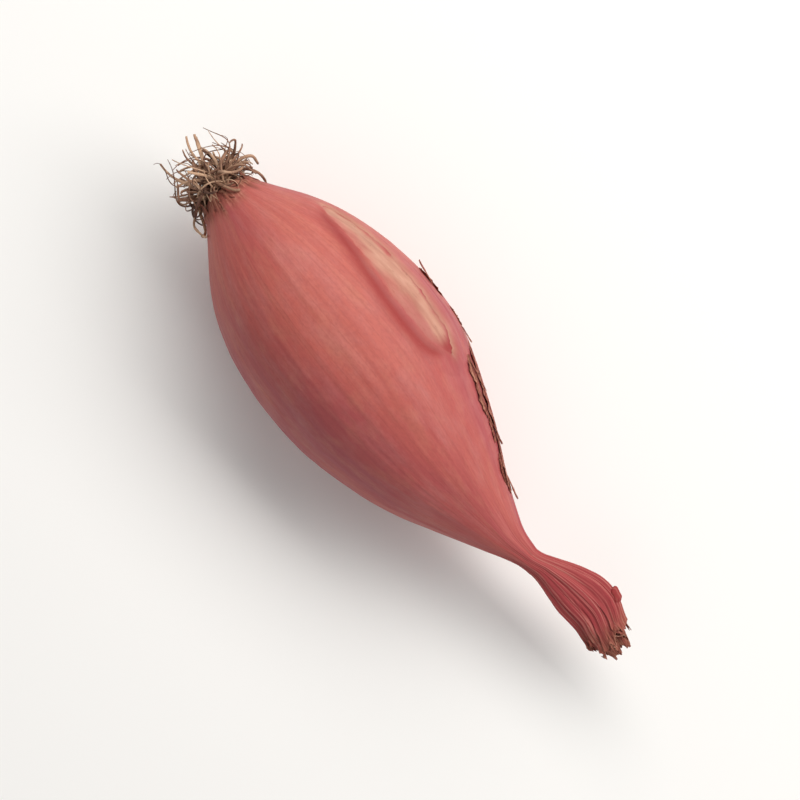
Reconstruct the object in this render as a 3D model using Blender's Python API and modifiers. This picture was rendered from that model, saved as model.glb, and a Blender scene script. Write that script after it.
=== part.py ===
"""A long pink shallot, dried with its skin on and lying on its flatter flank.

Everything is in metres with +Z up. The bulb runs along +X from the basal plate, where the dead
roots grow, to the dry neck where its leaves were cut. The origin is in the middle of the small
flat spot that it rests on. Two nodes: the bulb with its neck and torn skin, which grew as one
piece, and the root tuft on its basal plate.
"""

import math
import random

import bmesh
import bpy
from mathutils import Matrix, Vector

MM = 0.001

# Driving sizes
BODY_LENGTH = 80 * MM
BODY_WIDTH = 35 * MM
BODY_HEIGHT = 33 * MM
NECK_LENGTH = 22.3 * MM
SKIN_BLADE = 0.7 * MM
ROOT_THICKNESS = 0.9 * MM
PLATE_RADIUS = 3.2 * MM
NODE_GAP = 0.3 * MM

# How far the root end lies behind the resting spot, and how deep the spot is pressed flat
ROOT_END_TO_ORIGIN = 34.9 * MM
FLAT_DEPTH = 0.8 * MM

# Half the body's width, as a share of its greatest, against the share of the body's length
BODY_PROFILE = [
    (0.0, 0.235),
    (0.03, 0.325),
    (0.0625, 0.43),
    (0.125, 0.635),
    (0.19, 0.795),
    (0.27, 0.915),
    (0.36, 0.985),
    (0.44, 1.0),
    (0.52, 0.975),
    (0.6, 0.885),
    (0.69, 0.745),
    (0.75, 0.628),
    (0.82, 0.46),
    (0.89, 0.3),
    (0.95, 0.175),
    (1.0, 0.105),
]

# The neck against the share of its length: a pinch, then a flattened fan that narrows again,
# with its half sizes in mm and its twist in degrees
NECK_HALF_WIDTH = [(0.0, 1.84), (0.12, 2.4), (0.3, 3.7), (0.47, 4.5), (0.68, 4.0), (0.82, 3.0), (1.0, 1.9)]
NECK_HALF_THICKNESS = [(0.0, 1.74), (0.15, 1.75), (0.5, 1.7), (0.8, 1.5), (1.0, 1.2)]
NECK_TWIST = [(0.0, 0), (0.4, 5), (1.0, 18)]

# Where the middle of the bulb wanders from a straight line, sideways and in height, in mm
BODY_SIDEWAYS = [(0.0, 0.75), (0.25, 0.35), (0.5, 0.15), (0.72, -0.85), (0.92, -0.8), (1.0, 0.2)]
NECK_SIDEWAYS = [(0.0, 0.2), (0.12, 1.3), (0.35, 2.45), (0.6, 3.0), (0.8, 2.1), (1.0, 2.0)]
BODY_DROOP = [(0.0, -0.4), (0.2, -0.1), (0.45, 0.0), (0.7, -0.3), (1.0, -1.6)]
NECK_DROOP = [(0.0, -1.6), (0.4, -2.4), (0.75, -3.6), (1.0, -4.8)]

# Low facets left by the layers beneath: waves round the body, their share of its radius and their
# turn, full from the first share of its length to the second
FACETS = [(2, 0.010, 0.5), (3, 0.014, 1.9), (5, 0.008, 2.8), (7, 0.004, 2.6)]
FACETS_FULL = (0.2, 0.75)

# The long split in the outer skin: its middle and half width in degrees round from +Y, against
# the share of the body's length, and the crease along its upper lip
SPLIT_MIDDLE = [(0.15, 27), (0.25, 34.5), (0.375, 42), (0.5, 46), (0.57, 47)]
SPLIT_HALF_WIDTH = [(0.15, 0), (0.19, 5.5), (0.25, 8), (0.375, 10), (0.475, 9.5), (0.525, 7), (0.57, 0)]
SPLIT_EDGE = 2.5
SPLIT_DEPTH = 0.3 * MM
CREASE_BEYOND_SPLIT = 4.5
CREASE_HALF_WIDTH = 4.0
CREASE_DEPTH = 0.45 * MM

# Mesh fineness: the sectors crowd towards the split by this share. The last values are the short
# steps along and round the skin that its slope is measured over, and the distance that welds
SECTORS = 56
SECTOR_CROWDING = 0.35
CROWDED_ANGLE = math.radians(42)
BODY_RINGS = 30
NECK_RINGS = 15
SLOPE_STEP = 0.5 * MM
SLOPE_TURN = 0.03
WELD = 0.01 * MM

# The socket that the basal plate sits in, and its uneven rim
SOCKET_DEPTH = 1.2 * MM
RIM_RAGGEDNESS = 0.3 * MM
RIM_TEAR_REACH = 1.8 * MM

# The pleats, which begin on the body and are full on the neck, and the neck's torn end
PLEATS = 9
PLEAT_DEPTH = 0.15
PLEAT_TURN = 0.7
PLEAT_UNEVENNESS = 0.4
PLEATS_BEGIN = 0.84 * BODY_LENGTH
PLEATS_FULL = BODY_LENGTH + 0.3 * NECK_LENGTH
TIP_RAGGEDNESS = 1.3 * MM
TIP_SETBACK = 0.8 * MM
TIP_TEAR_REACH = 7 * MM
TIP_HOLLOW = 1.5 * MM
TIP_WALL = 0.6

# The unevenness of both torn ends: waves round the bulb, their share of its height and their turn
TORN_WAVES = [(3, 0.35, 0.4), (7, 0.3, 2.1), (11, 0.2, 4.0), (17, 0.15, 1.3)]

# Strips of dry skin torn loose: where each leaves the skin in mm from the root end and degrees
# round from +Y, which way it runs, then its length, width and lift in mm and its drift in degrees
NECK_SHREDS = [
    (93.0, 196, 1, 6.6, 2.4, 2.0, 10),
    (96.0, 15, 1, 6.0, 2.4, 1.3, -20),
    (96.5, 95, 1, 6.0, 2.6, 0.8, 20),
    (96.5, 250, 1, 5.0, 2.2, 0.5, -20),
    (91.0, 10, 1, 4.6, 2.0, 1.6, -14),
]
FLANK_SHREDS = [
    (44.0, 10, 1, 14.0, 3.0, 1.3, -8),
    (57.0, 8, 1, 10.0, 2.4, 1.2, 12),
    (38.5, 3, -1, 8.5, 2.0, 1.5, 6),
]
SHRED_SINK = 0.5 * MM
SHRED_CLEAR_FROM = 0.4
SHRED_CROWN = 0.15
SHRED_TAPER = 0.8
SHRED_TAPERS_FROM = 0.3
SHRED_WAIST = 0.15
SHRED_WAIST_TURN = 9
SHRED_ROWS = 7

# The dead roots leave the plate in a spiral, from its middle to most of its radius, and lean out
# further from its edge. Each curls by a random turn at every step and drifts along its curl
ROOT_COUNT = 54
ROOT_STEP = 1.0 * MM
ROOT_STEPS = (7, 13)
ROOT_LEAN = (0.3, 1.4)
ROOT_CURL = (0.14, 0.45)
ROOT_DRIFT = 0.16
ROOT_TAPER = (1.15, 0.9)
ROOT_ZONE_RADIUS = 7.5 * MM
ROOT_SEED = 11
GOLDEN_TURN = math.radians(137.5)
SHARPEST_TURN = math.radians(70)
CLEAR_OF_BODY = 1.3 * MM
CLEAR_OF_ITSELF = 1.17 * MM
SHORTEST_STEP = 0.55 * MM
PLATE_PROUD = 1.0 * MM
PLATE_TAPER = 0.86
PLATE_ROOTED = 0.75
PLATE_SIDES = 28

SKIN_COLOUR = (0.50, 0.165, 0.115, 1.0)
SKIN_ROUGHNESS = 0.45
ROOT_COLOUR = (0.23, 0.115, 0.068, 1.0)
ROOT_ROUGHNESS = 0.85
SHARP_EDGE = math.radians(40)


def smooth_through(points, x):
    """The value at x of a smooth curve through (x, value) points, level beyond both its ends."""
    if x <= points[0][0]:
        return points[0][1]
    if x >= points[-1][0]:
        return points[-1][1]
    i = max(k for k, point in enumerate(points) if point[0] <= x)
    (x0, y0), (x1, y1) = points[i], points[i + 1]
    span = x1 - x0

    def slope(k):
        low, high = max(k - 1, 0), min(k + 1, len(points) - 1)
        return (points[high][1] - points[low][1]) / (points[high][0] - points[low][0])

    t = (x - x0) / span
    start, end = slope(i) * span, slope(i + 1) * span
    return (
        y0 * (2 * t**3 - 3 * t**2 + 1)
        + start * (t**3 - 2 * t**2 + t)
        + y1 * (3 * t**2 - 2 * t**3)
        + end * (t**3 - t**2)
    )


def smooth_step(low, high, x):
    t = min(max((x - low) / (high - low), 0.0), 1.0)
    return t * t * (3 - 2 * t)


def ragged(angle, turn=0.0):
    """A torn edge's height round the bulb, between -1 and 1."""
    return sum(size * math.sin(count * angle + phase + turn) for count, size, phase in TORN_WAVES)


def middle(along):
    """The middle of the bulb, this far from the root end."""
    if along <= BODY_LENGTH:
        share = along / BODY_LENGTH
        sideways, droop = smooth_through(BODY_SIDEWAYS, share), smooth_through(BODY_DROOP, share)
    else:
        share = (along - BODY_LENGTH) / NECK_LENGTH
        sideways, droop = smooth_through(NECK_SIDEWAYS, share), smooth_through(NECK_DROOP, share)
    height = BODY_HEIGHT / 2 - FLAT_DEPTH
    return Vector((along - ROOT_END_TO_ORIGIN, sideways * MM, height + droop * MM))


def half_sizes(along):
    """Half the width and half the height of the bulb, this far from the root end."""
    if along <= BODY_LENGTH:
        share = smooth_through(BODY_PROFILE, along / BODY_LENGTH)
        return share * BODY_WIDTH / 2, share * BODY_HEIGHT / 2
    share = (along - BODY_LENGTH) / NECK_LENGTH
    return smooth_through(NECK_HALF_WIDTH, share) * MM, smooth_through(NECK_HALF_THICKNESS, share) * MM


def body_weight(along):
    """1 on the belly of the bulb, and 0 at the root end and on the neck."""
    share = along / BODY_LENGTH
    return smooth_step(0.0, FACETS_FULL[0], share) * (1 - smooth_step(FACETS_FULL[1], 1.0, share))


def neck_weight(along):
    """0 on the body, rising to 1 where the skin is gathered into pleats."""
    return smooth_step(PLEATS_BEGIN, PLEATS_FULL, along)


def split_relief(along, angle):
    """How far the skin sinks in the split and in the crease along its upper lip."""
    share = along / BODY_LENGTH
    half_width = smooth_through(SPLIT_HALF_WIDTH, share)
    if half_width <= 0:
        return 0.0
    across = math.degrees(angle) % 360 - smooth_through(SPLIT_MIDDLE, share)
    inside = 1 - smooth_step(half_width - SPLIT_EDGE, half_width + SPLIT_EDGE, abs(across))
    from_crease = (across - half_width - CREASE_BEYOND_SPLIT) / CREASE_HALF_WIDTH
    fade = smooth_step(0, SPLIT_HALF_WIDTH[1][1], half_width)
    return fade * (SPLIT_DEPTH * inside + CREASE_DEPTH * math.exp(-(from_crease**2)))


def surface_point(place, angle):
    """A point of the skin. Its ring is warped so that the rings follow the ragged rim and tip."""
    length = BODY_LENGTH + NECK_LENGTH
    rim_pull = 1 - smooth_step(0.0, RIM_TEAR_REACH, place)
    tip_pull = smooth_step(length - TIP_TEAR_REACH, length, place)
    along = place + rim_pull * RIM_RAGGEDNESS * ragged(angle)
    along += tip_pull * (TIP_RAGGEDNESS * ragged(angle, 1.0) - TIP_SETBACK)

    half_width, half_height = half_sizes(along)
    facets = sum(size * math.cos(count * angle + phase) for count, size, phase in FACETS)
    pleats = math.sin(PLEATS * angle + PLEAT_TURN) * (1 + PLEAT_UNEVENNESS * math.sin(2 * angle))
    swell = 1 + body_weight(along) * facets + neck_weight(along) * PLEAT_DEPTH * pleats
    radial = Vector((0, math.cos(angle), math.sin(angle)))
    offset = Vector((0, half_width * swell * radial.y, half_height * swell * radial.z))
    offset -= radial * split_relief(along, angle)
    twist = smooth_through(NECK_TWIST, (along - BODY_LENGTH) / NECK_LENGTH)
    return middle(along) + Matrix.Rotation(math.radians(twist), 3, "X") @ offset


def sector_angles():
    """Angles round the bulb, closer together where the skin is split."""
    even = [2 * math.pi * i / SECTORS for i in range(SECTORS)]
    return [u - SECTOR_CROWDING * math.sin(u - CROWDED_ANGLE) for u in even]


def ring_places():
    """Distances of the rings from the root end, closer together at the ends of the body."""
    body = [BODY_LENGTH * (1 - math.cos(math.pi * i / BODY_RINGS)) / 2 for i in range(BODY_RINGS)]
    neck = [BODY_LENGTH + NECK_LENGTH * i / NECK_RINGS for i in range(NECK_RINGS + 1)]
    return body + neck


def new_object(name, mesh, collection):
    made = bpy.data.objects.new(name, mesh)
    collection.objects.link(made)
    return made


def new_collection(name):
    made = bpy.data.collections.new(name)
    bpy.context.scene.collection.children.link(made)
    return made


def material(name, colour, roughness):
    made = bpy.data.materials.new(name)
    made.use_nodes = True
    shader = made.node_tree.nodes["Principled BSDF"]
    shader.inputs["Base Color"].default_value = colour
    shader.inputs["Roughness"].default_value = roughness
    shader.inputs["Metallic"].default_value = 0.0
    return made


def bulb_skin(collection):
    """The body and its neck, lofted through unlike rings, with a socket at the roots and a torn tip."""
    bm = bmesh.new()
    angles = sector_angles()
    socket_middle = middle(SOCKET_DEPTH)
    socket_radius = PLATE_RADIUS + NODE_GAP
    socket = [socket_middle + Vector((0, math.cos(a), math.sin(a))) * socket_radius for a in angles]
    rings = [[bm.verts.new(point) for point in socket]]
    rings += [[bm.verts.new(surface_point(place, a)) for a in angles] for place in ring_places()]

    tip_middle = sum((v.co for v in rings[-1]), Vector()) / SECTORS
    inward = (middle(BODY_LENGTH) - tip_middle).normalized()
    wall = [tip_middle.lerp(v.co, TIP_WALL) + inward * TIP_HOLLOW / 4 for v in rings[-1]]
    rings.append([bm.verts.new(point) for point in wall])
    ends = bm.verts.new(socket_middle), bm.verts.new(tip_middle + inward * TIP_HOLLOW)
    for i in range(SECTORS):
        j = (i + 1) % SECTORS
        for ring, following in zip(rings, rings[1:]):
            bm.faces.new((ring[i], following[i], following[j], ring[j]))
        bm.faces.new((rings[0][j], ends[0], rings[0][i]))
        bm.faces.new((rings[-1][i], ends[1], rings[-1][j]))
    bmesh.ops.recalc_face_normals(bm, faces=bm.faces)
    mesh = bpy.data.meshes.new("bulb")
    bm.to_mesh(mesh)
    bm.free()
    return new_object("bulb", mesh, collection)


def press_flat(obj):
    """Cuts the belly off level at the ground, which leaves the small flat spot that it rests on."""
    bm = bmesh.new()
    bm.from_mesh(obj.data)
    parts = bm.verts[:] + bm.edges[:] + bm.faces[:]
    cut = bmesh.ops.bisect_plane(bm, geom=parts, plane_co=(0, 0, 0), plane_no=(0, 0, -1), clear_outer=True)
    edges = [e for e in cut["geom_cut"] if isinstance(e, bmesh.types.BMEdge)]
    bmesh.ops.contextual_create(bm, geom=edges)
    bmesh.ops.recalc_face_normals(bm, faces=bm.faces)
    bm.to_mesh(obj.data)
    bm.free()


def skin_frame(place, angle):
    """A point of the skin, with the directions round the bulb and out of it."""
    point = surface_point(place, angle)
    ahead = surface_point(place + SLOPE_STEP, angle) - surface_point(place - SLOPE_STEP, angle)
    beside = surface_point(place, angle + SLOPE_TURN) - surface_point(place, angle - SLOPE_TURN)
    return point, beside.normalized(), beside.cross(ahead).normalized()


def skin_shred(name, collection, foot, angle, heading, length, width, lift, drift):
    """A torn strip of dry skin: it follows the surface, tapers and stands off towards its tip."""
    bm = bmesh.new()
    rows = []
    for i in range(SHRED_ROWS):
        t = i / (SHRED_ROWS - 1)
        place = (foot + heading * length * t) * MM
        point, beside, out = skin_frame(place, math.radians(angle + drift * t * t))
        rise = (smooth_step(0.0, SHRED_CLEAR_FROM, t) - 1) * SHRED_SINK + lift * MM * t * t
        point = point + out * rise
        waist = 1 - SHRED_WAIST + SHRED_WAIST * math.cos(SHRED_WAIST_TURN * t)
        half = width * MM / 2 * waist * (1 - SHRED_TAPER * smooth_step(SHRED_TAPERS_FROM, 1.0, t))
        crown = out * SHRED_CROWN * half
        rows.append([bm.verts.new(p) for p in (point - beside * half, point + crown, point + beside * half)])
    for row, following in zip(rows, rows[1:]):
        for i in range(2):
            bm.faces.new((row[i], following[i], following[i + 1]))
            bm.faces.new((row[i], following[i + 1], row[i + 1]))
    bmesh.ops.recalc_face_normals(bm, faces=bm.faces)
    mesh = bpy.data.meshes.new(name)
    bm.to_mesh(mesh)
    bm.free()
    strip = new_object(name, mesh, collection)
    solidify = strip.modifiers.new("thickness", "SOLIDIFY")
    solidify.thickness = SKIN_BLADE
    solidify.offset = 0


def torn_skin():
    """Every strip of dry skin: those of the neck's torn end and those lifted from the flank."""
    loose = new_collection("loose_shreds")
    for number, shred in enumerate(NECK_SHREDS + FLANK_SHREDS):
        skin_shred(f"shred_{number}", loose, *shred)
    return loose


def keep_outer_body(mesh):
    """Drops loose scraps and the walls of sealed hollows, so that one closed body is left."""
    bm = bmesh.new()
    bm.from_mesh(mesh)
    unseen = set(bm.verts)
    largest = set()
    while unseen:
        group = set()
        edge_of_group = [next(iter(unseen))]
        while edge_of_group:
            vert = edge_of_group.pop()
            if vert not in group:
                group.add(vert)
                edge_of_group.extend(edge.other_vert(vert) for edge in vert.link_edges)
        unseen -= group
        largest = max(largest, group, key=len)
    bmesh.ops.delete(bm, geom=[v for v in bm.verts if v not in largest], context="VERTS")
    bm.to_mesh(mesh)
    bm.free()


def fuse(target, collection):
    """Joins every object of the collection to the target, and removes them."""
    union = target.modifiers.new("fused", "BOOLEAN")
    union.operation = "UNION"
    union.solver = "MANIFOLD"
    union.operand_type = "COLLECTION"
    union.collection = collection
    bpy.context.view_layer.update()
    graph = bpy.context.evaluated_depsgraph_get()
    joined = bpy.data.meshes.new_from_object(target.evaluated_get(graph))
    target.modifiers.clear()
    target.data = joined
    keep_outer_body(joined)
    for obj in list(collection.objects):
        bpy.data.objects.remove(obj)
    bpy.data.collections.remove(collection)


def skin_start(radius):
    """How far from the root end the skin is at this distance from the axis."""
    along = 0.0
    while half_sizes(along)[1] < radius:
        along += SLOPE_STEP
    return along


def root_path(draw, number):
    """The points of one dead root: it leaves the plate, turns outward and curls as it dried."""
    around = number * GOLDEN_TURN
    spread = math.sqrt((number + 0.5) / ROOT_COUNT)
    lean = ROOT_LEAN[0] + (ROOT_LEAN[1] - ROOT_LEAN[0]) * spread
    outward = Vector((0, math.cos(around), math.sin(around)))
    position = outward * (PLATE_ROOTED * PLATE_RADIUS * spread)
    heading = (Vector((-1, 0, 0)) + outward * lean).normalized()
    curl_axis = Vector([draw.uniform(-1, 1) for _ in range(3)]).normalized()
    curl = draw.uniform(*ROOT_CURL)
    points = [position.copy()]
    for step in range(draw.randint(*ROOT_STEPS)):
        if step == ROOT_STEPS[0] - 1:
            curl_axis = (curl_axis + Vector([draw.uniform(-1, 1) for _ in range(3)])).normalized()
        heading = Matrix.Rotation(curl, 3, curl_axis) @ heading
        heading = (heading + curl_axis * ROOT_DRIFT).normalized()
        position = position + heading * ROOT_STEP
        radius = math.hypot(position.y, position.z)
        if radius > ROOT_ZONE_RADIUS:
            position.y *= ROOT_ZONE_RADIUS / radius
            position.z *= ROOT_ZONE_RADIUS / radius
        position.x = min(position.x, skin_start(min(radius, ROOT_ZONE_RADIUS)) - CLEAR_OF_BODY)
        points.append(position.copy())
    return points


def keeps_apart(points):
    """True if a root's own turns stay clear of each other, and no step doubles back."""
    for i in range(len(points)):
        for j in range(i + 1, len(points)):
            gap = (points[i] - points[j]).length
            if gap < SHORTEST_STEP or (j - i > 2 and gap < CLEAR_OF_ITSELF):
                return False
    turns = [(b - a).angle(c - b) for a, b, c in zip(points, points[1:], points[2:])]
    return max(turns) < SHARPEST_TURN


def root_tube(name, points, collection):
    """One root as a closed four-sided tube that thins towards its end."""
    curve = bpy.data.curves.new(name, "CURVE")
    curve.dimensions = "3D"
    curve.bevel_depth = ROOT_THICKNESS / 2
    curve.bevel_resolution = 0
    curve.use_fill_caps = True
    spline = curve.splines.new("POLY")
    spline.points.add(len(points) - 1)
    for i, point in enumerate(points):
        spline.points[i].co = (*point, 1)
        spline.points[i].radius = ROOT_TAPER[0] + (ROOT_TAPER[1] - ROOT_TAPER[0]) * i / (len(points) - 1)
    route = new_object(name + "_route", curve, collection)
    bpy.context.view_layer.update()
    graph = bpy.context.evaluated_depsgraph_get()
    mesh = bpy.data.meshes.new_from_object(route.evaluated_get(graph))
    bm = bmesh.new()
    bm.from_mesh(mesh)
    bmesh.ops.remove_doubles(bm, verts=bm.verts, dist=WELD)
    bmesh.ops.recalc_face_normals(bm, faces=bm.faces)
    bm.to_mesh(mesh)
    bm.free()
    tube = new_object(name, mesh, collection)
    tube.matrix_world = route.matrix_world
    bpy.data.objects.remove(route)


def basal_plate(collection):
    """The low corky disc that the roots grow from, a gap off the floor of its socket."""
    inner, outer = SOCKET_DEPTH - NODE_GAP, -PLATE_PROUD
    bpy.ops.mesh.primitive_cone_add(
        vertices=PLATE_SIDES,
        radius1=PLATE_RADIUS,
        radius2=PLATE_TAPER * PLATE_RADIUS,
        depth=inner - outer,
        location=((inner + outer) / 2, 0, 0),
        rotation=(0, -math.pi / 2, 0),
    )
    plate = bpy.context.object
    plate.name = "root_tuft"
    bpy.ops.object.transform_apply(location=True, rotation=True, scale=True)
    for owner in list(plate.users_collection):
        owner.objects.unlink(plate)
    collection.objects.link(plate)
    return plate


def root_tuft(collection):
    """The plate with its dead roots fused to it, carried to the root end of the bulb."""
    plate = basal_plate(collection)
    loose = new_collection("loose_roots")
    draw = random.Random(ROOT_SEED)
    for number in range(ROOT_COUNT):
        points = root_path(draw, number)
        while not keeps_apart(points):
            points = root_path(draw, number)
        root_tube(f"root_{number}", points, loose)
    fuse(plate, loose)
    plate.data.transform(Matrix.Translation(middle(0)))
    return plate


def main():
    for obj in list(bpy.data.objects):
        bpy.data.objects.remove(obj)
    shallot = new_collection("pink_shallot")
    bulb = bulb_skin(shallot)
    press_flat(bulb)
    fuse(bulb, torn_skin())
    tuft = root_tuft(shallot)

    bulb.data.materials.append(material("papery_skin", SKIN_COLOUR, SKIN_ROUGHNESS))
    tuft.data.materials.append(material("dead_root", ROOT_COLOUR, ROOT_ROUGHNESS))
    for obj in (bulb, tuft):
        obj.data.shade_smooth()
        obj.data.set_sharp_from_angle(angle=SHARP_EDGE)


main()
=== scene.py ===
"""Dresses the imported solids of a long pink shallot, whole and dry, lying on its side.

Everything is in metres with +Z up. The bulb runs along +X from its dead roots to its dry neck. The
sizes and curves of its form are those of the solids, drawn here much finer, and the torn papery
skin, the dry neck and the root tuft get the shapes that the solids leave out.
"""

import math
import random

import bmesh
import bpy
import numpy as np
from mathutils import Matrix, Vector


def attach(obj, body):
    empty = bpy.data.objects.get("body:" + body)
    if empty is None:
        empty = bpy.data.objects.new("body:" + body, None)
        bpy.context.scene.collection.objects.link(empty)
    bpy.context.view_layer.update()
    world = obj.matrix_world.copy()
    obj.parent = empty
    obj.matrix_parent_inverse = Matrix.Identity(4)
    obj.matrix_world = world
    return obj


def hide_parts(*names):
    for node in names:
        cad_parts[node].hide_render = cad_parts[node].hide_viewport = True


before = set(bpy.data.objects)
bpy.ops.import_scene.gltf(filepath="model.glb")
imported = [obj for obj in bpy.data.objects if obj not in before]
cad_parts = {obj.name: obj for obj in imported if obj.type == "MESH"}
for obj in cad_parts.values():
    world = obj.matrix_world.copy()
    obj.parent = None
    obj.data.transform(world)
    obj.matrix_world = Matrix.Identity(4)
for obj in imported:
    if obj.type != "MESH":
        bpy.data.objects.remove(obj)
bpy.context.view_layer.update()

MM = 0.001

# Sizes and curves of the solids
BODY_LENGTH = 80 * MM
BODY_WIDTH = 35 * MM
BODY_HEIGHT = 33 * MM
NECK_LENGTH = 22.3 * MM
LENGTH = BODY_LENGTH + NECK_LENGTH
PLATE_RADIUS = 3.2 * MM
NODE_GAP = 0.3 * MM
ROOT_END_TO_ORIGIN = 34.9 * MM
FLAT_DEPTH = 0.8 * MM
BODY_PROFILE = [
    (0.0, 0.235), (0.03, 0.325), (0.0625, 0.43), (0.125, 0.635), (0.19, 0.795), (0.27, 0.915),
    (0.36, 0.985), (0.44, 1.0), (0.52, 0.975), (0.6, 0.885), (0.69, 0.745), (0.75, 0.628),
    (0.82, 0.46), (0.89, 0.3), (0.95, 0.175), (1.0, 0.105),
]
NECK_HALF_WIDTH = [(0.0, 1.84), (0.12, 2.4), (0.3, 3.7), (0.47, 4.5), (0.68, 4.0), (0.82, 3.0), (1.0, 1.9)]
NECK_HALF_THICKNESS = [(0.0, 1.74), (0.15, 1.75), (0.5, 1.7), (0.8, 1.5), (1.0, 1.2)]
NECK_TWIST = [(0.0, 0), (0.4, 5), (1.0, 18)]
BODY_SIDEWAYS = [(0.0, 0.75), (0.25, 0.35), (0.5, 0.15), (0.72, -0.85), (0.92, -0.8), (1.0, 0.2)]
NECK_SIDEWAYS = [(0.0, 0.2), (0.12, 1.3), (0.35, 2.45), (0.6, 3.0), (0.8, 2.1), (1.0, 2.0)]
BODY_DROOP = [(0.0, -0.4), (0.2, -0.1), (0.45, 0.0), (0.7, -0.3), (1.0, -1.6)]
NECK_DROOP = [(0.0, -1.6), (0.4, -2.4), (0.75, -3.6), (1.0, -4.8)]
FACETS = [(2, 0.010, 0.5), (3, 0.014, 1.9), (5, 0.008, 2.8), (7, 0.004, 2.6)]
FACETS_FULL = (0.2, 0.75)
SPLIT_MIDDLE = [(0.15, 27), (0.25, 34), (0.375, 40.5), (0.5, 42.5), (0.57, 40.5)]
SPLIT_HALF_WIDTH = [(0.15, 0), (0.19, 5.5), (0.25, 8), (0.375, 10), (0.475, 9.5), (0.525, 7), (0.57, 0)]
SPLIT_EDGE = 2.5
SPLIT_ENDS = (0.165, 0.562)
SPLIT_DEPTH = 0.3 * MM
CREASE_BEYOND_SPLIT = 4.5
CREASE_HALF_WIDTH = 4.0
CREASE_DEPTH = 0.45 * MM
SECTOR_CROWDING = 0.35
CROWDED_ANGLE = math.radians(42)
SOCKET_DEPTH = 1.2 * MM
RIM_RAGGEDNESS = 0.3 * MM
RIM_TEAR_REACH = 1.8 * MM
PLEATS = 9
PLEAT_DEPTH = 0.06  # shallower than the solids', as finer fibres lie between them here
PLEAT_TURN = 0.7
PLEAT_UNEVENNESS = 0.4
PLEATS_BEGIN = 0.84 * BODY_LENGTH
PLEATS_FULL = BODY_LENGTH + 0.3 * NECK_LENGTH
TIP_RAGGEDNESS = 1.3 * MM
TIP_SETBACK = 0.8 * MM
TIP_TEAR_REACH = 7 * MM
TORN_WAVES = [(3, 0.35, 0.4), (7, 0.3, 2.1), (11, 0.2, 4.0), (17, 0.15, 1.3)]
ROOT_COUNT = 54
ROOT_STEP = 1.0 * MM
ROOT_STEPS = (7, 13)
ROOT_LEAN = (0.3, 1.4)
ROOT_CURL = (0.14, 0.45)
ROOT_DRIFT = 0.16
ROOT_ZONE_RADIUS = 7.5 * MM
ROOT_SEED = 11
GOLDEN_TURN = math.radians(137.5)
SHARPEST_TURN = math.radians(70)
CLEAR_OF_BODY = 1.3 * MM
CLEAR_OF_ITSELF = 1.17 * MM
SHORTEST_STEP = 0.55 * MM
PLATE_PROUD = 1.0 * MM
PLATE_TAPER = 0.86
PLATE_ROOTED = 0.75
FARTHEST_ROOT = 10.4 * MM

# Fineness of the skin's mesh
SECTORS = 308
BODY_RINGS = 236
NECK_RINGS = 70
END_CROWDING = 0.35

# Low relief of the skin: soft dents of the flesh below, fine wrinkles of the dry film, raised veins,
# gathers at the shoulder, and the fibres of the neck. The layers of each are (size, cells round, cells
# along).
DENTS = [(1, 9, 6), (0.5, 21, 12)]
DENT_DEPTH = 0.16 * MM
WRINKLES = [(1, 86, 34), (0.6, 120, 90)]
WRINKLE_DEPTH = 0.035 * MM
VEINS = 64
VEIN_HEIGHT = 0.07 * MM
VEIN_HALF_WIDTH = 0.42 * MM
GATHERS = [(1, 38, 8)]
GATHER_DEPTH = 0.12 * MM
SHOULDER = (0.55 * BODY_LENGTH, 0.95 * BODY_LENGTH)
FIBRES = [(0.6, 56, 14), (1, 116, 26)]
FIBRE_HEIGHT = 0.12 * MM

# The pinch between body and neck is rounded over this reach, by an average over these steps
PINCH_REACH = 1.7 * MM
PINCH_STEPS = [-1.2 * MM, -0.6 * MM, 0.0, 0.6 * MM, 1.2 * MM]

# The neck's torn mouth: its inner wall, as (share of the rim, depth), and its floor
MOUTH_WALL = [(0.86, -0.1 * MM), (0.8, 1.0 * MM), (0.66, 3.0 * MM), (0.4, 4.5 * MM)]
MOUTH_DEPTH = 5.0 * MM

# How the skin's colours change along the bulb, and the unevenness of the straw's edge and of its tone
STRAW_STOPS = (41 * MM, 44 * MM)
STRAW_EDGE = [(1.6, 60, 44), (0.8, 150, 110)]
STRAW_PATCHES = [(1, 44, 30), (0.6, 110, 76)]
# Painted shade at the fold where the split ends: its middle, its half length and its half width in degrees
FOLD_SHADE_MIDDLE = 43.8 * MM
FOLD_SHADE_HALF_LENGTH = 2.6 * MM
FOLD_SHADE_HALF_ANGLE = 6.0
BROWN_RIM = (0.6 * MM, 5.0 * MM)
BROWN_TIP = (95.5 * MM, 101.5 * MM)
NECK_REDDENS = (70 * MM, 84 * MM)

# Films and scraps of dry skin
SKIN_FILM = 0.13 * MM
LIP_FILM = 0.07 * MM
FLAKE_FILM = 0.09 * MM
USUAL_UNEVENNESS = 0.35
SCALES = 26
SCALE_SPANS = [  # shift, foot, length, width, drift, lift, curl, cup, dryness
    (-0.4, 0.4), (1.6, 3.6), (1.8, 3.6), (1.0, 2.4), (-14, 14), (0.2, 0.9), (-0.5, 0.5), (0.3, 0.9), (0.6, 1.0),
]

# The film round the split: points along its edge, rounds of smoothing, and steps outward (mm)
LIP_POINTS = 620
LIP_SMOOTHING = 14
LIP_STEPS = [0.0, 0.12, 0.26, 0.42, 0.62, 0.86, 1.15, 1.5, 1.95, 2.5, 3.2, 4.1, 5.2]

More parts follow.
